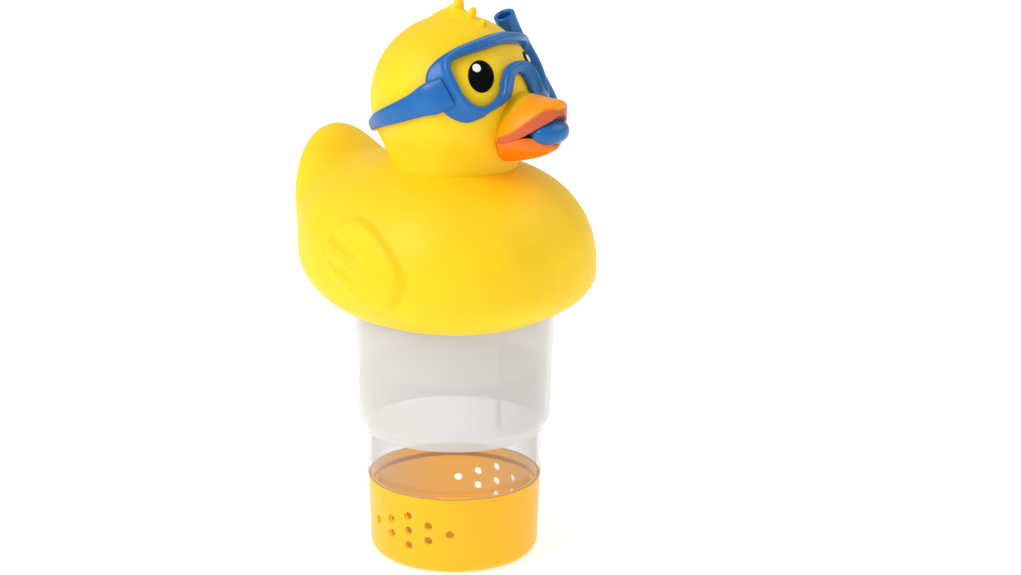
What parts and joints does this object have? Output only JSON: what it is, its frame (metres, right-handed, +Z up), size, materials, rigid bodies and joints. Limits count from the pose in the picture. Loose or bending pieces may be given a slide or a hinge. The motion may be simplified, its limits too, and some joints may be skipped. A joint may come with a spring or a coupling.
{
  "type": "floating chlorine dispenser",
  "caption": "Duck-shaped pool float with diving mask and snorkel, carrying a telescoping translucent tablet chamber that ends in a turning perforated flow cup.",
  "frame": {"origin": "centre of the flow cup's flat underside", "axes": "+Z up the common axis of the cup and chambers, +X the way the duck looks, +Y the duck's left side, where the snorkel stands"},
  "size_m": [0.1143, 0.1008, 0.2048],
  "materials": {
    "cup_plastic": "smooth injection-moulded polypropylene, satin gloss",
    "milky_plastic": "translucent injection-moulded polypropylene, smooth",
    "duck_vinyl": "soft matt moulded vinyl",
    "beak_vinyl": "satin painted vinyl",
    "mask_vinyl": "satin painted vinyl",
    "eye_black": "gloss printed paint",
    "eye_white": "gloss printed paint",
    "ballast_metal": "turned stainless steel",
    "seal_rubber": "matt rubber",
    "gasket_rubber": "matt silicone"
  },
  "bodies": {
    "chamber": {"upper_chamber": "milky_plastic"},
    "telescope": {"lower_chamber": "milky_plastic"},
    "cup": {"flow_cup": "cup_plastic", "ballast_disc": "ballast_metal", "ballast_cover": "cup_plastic"},
    "gasket": {"chamber_gasket": "gasket_rubber"},
    "duck": {"float_base": "cup_plastic", "float_seal": "seal_rubber", "body_shell": "duck_vinyl", "head_shell": "duck_vinyl", "upper_bill": "beak_vinyl", "lower_bill": "beak_vinyl", "mask_frame": "mask_vinyl", "mask_strap": "mask_vinyl", "snorkel_tube": "mask_vinyl", "snorkel_mouthpiece": "mask_vinyl", "left_eye": "eye_black", "right_eye": "eye_black", "left_glint": "eye_white", "right_glint": "eye_white"}
  },
  "joints": [
    {"name": "telescope_slide", "type": "slide", "parent": "chamber", "child": "telescope", "axis": [0, 0, 1], "range_m": [0, 0.015]},
    {"name": "flow_control", "type": "hinge", "parent": "telescope", "child": "cup", "pos_m": [0, 0, 0.015], "axis": [0, 0, 1], "range_deg": [0, 90]},
    {"name": "unscrew_turn", "type": "hinge", "parent": "chamber", "child": "gasket", "pos_m": [0, 0, 0.103], "axis": [0, 0, 1], "range_deg": [0, 300]},
    {"name": "unscrew_lift", "type": "slide", "parent": "gasket", "child": "duck", "axis": [0, 0, 1], "range_m": [0, 0.0101]}
  ],
  "couplings": [
    {"joint": "unscrew_lift", "follows": "unscrew_turn", "m_per_rad": 0.0019099}
  ]
}
